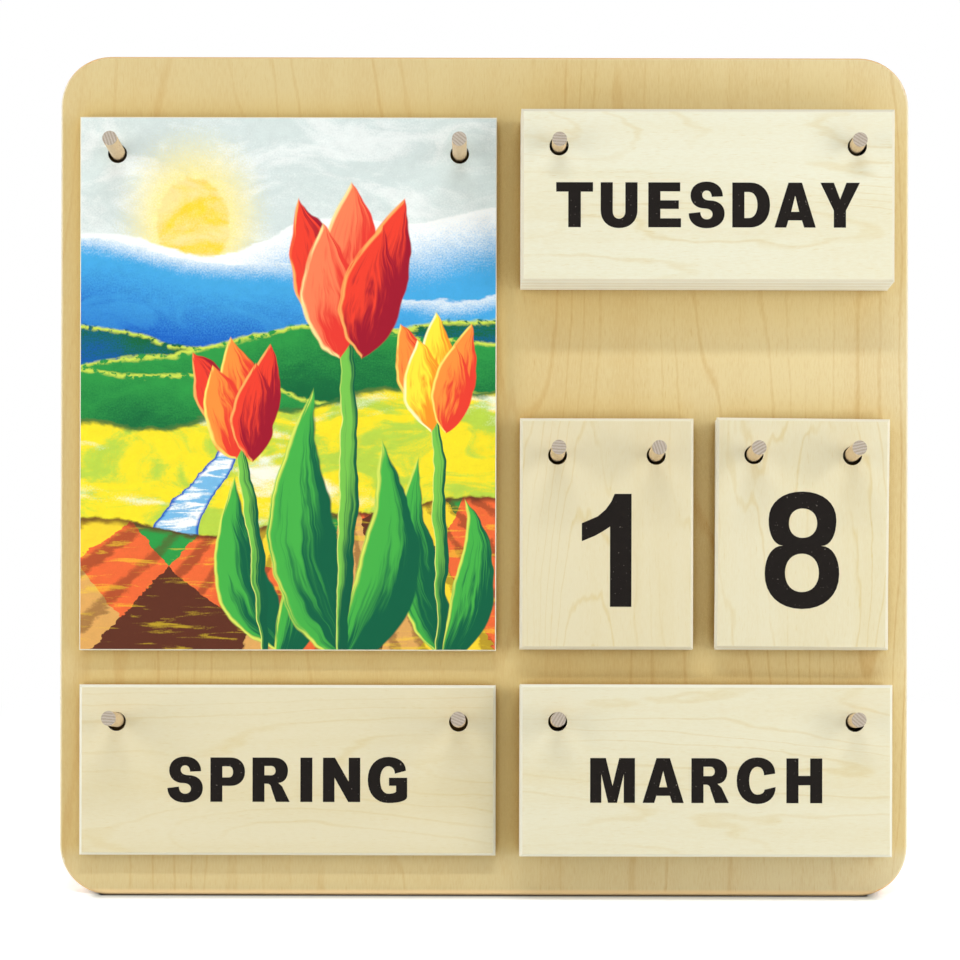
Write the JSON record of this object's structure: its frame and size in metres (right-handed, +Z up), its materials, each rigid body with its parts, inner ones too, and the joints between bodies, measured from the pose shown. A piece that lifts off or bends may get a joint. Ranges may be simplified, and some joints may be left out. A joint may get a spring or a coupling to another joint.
{
  "type": "perpetual desk calendar",
  "caption": "Wooden board on a hinged strut with sloping pegs that hold stacks of lettered plywood tiles for weekday, date, month, season and a picture.",
  "frame": {"origin": "centre of the flat foot that the board stands on", "axes": "+Z up, +X to the right as seen from the front, the front faces -Y"},
  "size_m": [0.45, 0.1528, 0.438],
  "materials": {
    "board_wood": "clear satin lacquer on warm veneer",
    "tile_wood": "pale birch plywood, fine sanded, black print",
    "picture_print": "birch plywood with a satin colour print",
    "peg_wood": "beech dowel, sanded",
    "strut_wood": "birch plywood, sanded edges",
    "hinge_steel": "zinc plated",
    "screw_steel": "zinc plated"
  },
  "bodies": {
    "board": {"board": "board_wood", "hinge_board_leaf": "hinge_steel", "hinge_pin": "hinge_steel", "board_leaf_screws": "screw_steel", "picture_peg_left": "peg_wood", "picture_peg_right": "peg_wood", "season_peg_left": "peg_wood", "season_peg_right": "peg_wood", "weekday_peg_left": "peg_wood", "weekday_peg_right": "peg_wood", "month_peg_left": "peg_wood", "month_peg_right": "peg_wood", "tens_peg_left": "peg_wood", "tens_peg_right": "peg_wood", "units_peg_left": "peg_wood", "units_peg_right": "peg_wood"},
    "strut": {"strut": "strut_wood", "hinge_strut_leaf": "hinge_steel", "strut_leaf_screws": "screw_steel"},
    "picture_tile_1": {"picture_tile_1": "picture_print"},
    "picture_tile_2": {"picture_tile_2": "picture_print"},
    "season_tile_1": {"season_tile_1": "tile_wood"},
    "season_tile_2": {"season_tile_2": "tile_wood"},
    "weekday_tile_1": {"weekday_tile_1": "tile_wood"},
    "weekday_tile_2": {"weekday_tile_2": "tile_wood"},
    "weekday_tile_3": {"weekday_tile_3": "tile_wood"},
    "weekday_tile_4": {"weekday_tile_4": "tile_wood"},
    "weekday_tile_5": {"weekday_tile_5": "tile_wood"},
    "weekday_tile_6": {"weekday_tile_6": "tile_wood"},
    "weekday_tile_7": {"weekday_tile_7": "tile_wood"},
    "month_tile_1": {"month_tile_1": "tile_wood"},
    "month_tile_2": {"month_tile_2": "tile_wood"},
    "month_tile_3": {"month_tile_3": "tile_wood"},
    "month_tile_4": {"month_tile_4": "tile_wood"},
    "month_tile_5": {"month_tile_5": "tile_wood"},
    "month_tile_6": {"month_tile_6": "tile_wood"},
    "tens_tile_1": {"tens_tile_1": "tile_wood"},
    "tens_tile_2": {"tens_tile_2": "tile_wood"},
    "tens_tile_3": {"tens_tile_3": "tile_wood"},
    "units_tile_1": {"units_tile_1": "tile_wood"},
    "units_tile_2": {"units_tile_2": "tile_wood"},
    "units_tile_3": {"units_tile_3": "tile_wood"}
  },
  "joints": [
    {"name": "strut_fold", "type": "hinge", "parent": "board", "child": "strut", "pos_m": [0, 0.06684, 0.31688], "axis": [-1, 0, 0], "range_deg": [0, 18]},
    {"name": "picture_tile_1_slide", "type": "slide", "parent": "board", "child": "picture_tile_1", "axis": [0, -0.9588, 0.284], "range_m": [0, 0.0434]},
    {"name": "picture_tile_2_slide", "type": "slide", "parent": "picture_tile_1", "child": "picture_tile_2", "axis": [0, -0.9588, 0.284], "range_m": [0, 0.0395]},
    {"name": "season_tile_1_slide", "type": "slide", "parent": "board", "child": "season_tile_1", "axis": [0, -0.9588, 0.284], "range_m": [0, 0.0434]},
    {"name": "season_tile_2_slide", "type": "slide", "parent": "season_tile_1", "child": "season_tile_2", "axis": [0, -0.9588, 0.284], "range_m": [0, 0.0395]},
    {"name": "weekday_tile_1_slide", "type": "slide", "parent": "board", "child": "weekday_tile_1", "axis": [0, -0.9588, 0.284], "range_m": [0, 0.0434]},
    {"name": "weekday_tile_2_slide", "type": "slide", "parent": "weekday_tile_1", "child": "weekday_tile_2", "axis": [0, -0.9588, 0.284], "range_m": [0, 0.0395]},
    {"name": "weekday_tile_3_slide", "type": "slide", "parent": "weekday_tile_2", "child": "weekday_tile_3", "axis": [0, -0.9588, 0.284], "range_m": [0, 0.0357]},
    {"name": "weekday_tile_4_slide", "type": "slide", "parent": "weekday_tile_3", "child": "weekday_tile_4", "axis": [0, -0.9588, 0.284], "range_m": [0, 0.0319]},
    {"name": "weekday_tile_5_slide", "type": "slide", "parent": "weekday_tile_4", "child": "weekday_tile_5", "axis": [0, -0.9588, 0.284], "range_m": [0, 0.0281]},
    {"name": "weekday_tile_6_slide", "type": "slide", "parent": "weekday_tile_5", "child": "weekday_tile_6", "axis": [0, -0.9588, 0.284], "range_m": [0, 0.0242]},
    {"name": "weekday_tile_7_slide", "type": "slide", "parent": "weekday_tile_6", "child": "weekday_tile_7", "axis": [0, -0.9588, 0.284], "range_m": [0, 0.0204]},
    {"name": "month_tile_1_slide", "type": "slide", "parent": "board", "child": "month_tile_1", "axis": [0, -0.9588, 0.284], "range_m": [0, 0.0434]},
    {"name": "month_tile_2_slide", "type": "slide", "parent": "month_tile_1", "child": "month_tile_2", "axis": [0, -0.9588, 0.284], "range_m": [0, 0.0395]},
    {"name": "month_tile_3_slide", "type": "slide", "parent": "month_tile_2", "child": "month_tile_3", "axis": [0, -0.9588, 0.284], "range_m": [0, 0.0357]},
    {"name": "month_tile_4_slide", "type": "slide", "parent": "month_tile_3", "child": "month_tile_4", "axis": [0, -0.9588, 0.284], "range_m": [0, 0.0319]},
    {"name": "month_tile_5_slide", "type": "slide", "parent": "month_tile_4", "child": "month_tile_5", "axis": [0, -0.9588, 0.284], "range_m": [0, 0.0281]},
    {"name": "month_tile_6_slide", "type": "slide", "parent": "month_tile_5", "child": "month_tile_6", "axis": [0, -0.9588, 0.284], "range_m": [0, 0.0242]},
    {"name": "tens_tile_1_slide", "type": "slide", "parent": "board", "child": "tens_tile_1", "axis": [0, -0.9588, 0.284], "range_m": [0, 0.0434]},
    {"name": "tens_tile_2_slide", "type": "slide", "parent": "tens_tile_1", "child": "tens_tile_2", "axis": [0, -0.9588, 0.284], "range_m": [0, 0.0395]},
    {"name": "tens_tile_3_slide", "type": "slide", "parent": "tens_tile_2", "child": "tens_tile_3", "axis": [0, -0.9588, 0.284], "range_m": [0, 0.0357]},
    {"name": "units_tile_1_slide", "type": "slide", "parent": "board", "child": "units_tile_1", "axis": [0, -0.9588, 0.284], "range_m": [0, 0.0434]},
    {"name": "units_tile_2_slide", "type": "slide", "parent": "units_tile_1", "child": "units_tile_2", "axis": [0, -0.9588, 0.284], "range_m": [0, 0.0395]},
    {"name": "units_tile_3_slide", "type": "slide", "parent": "units_tile_2", "child": "units_tile_3", "axis": [0, -0.9588, 0.284], "range_m": [0, 0.0357]}
  ]
}
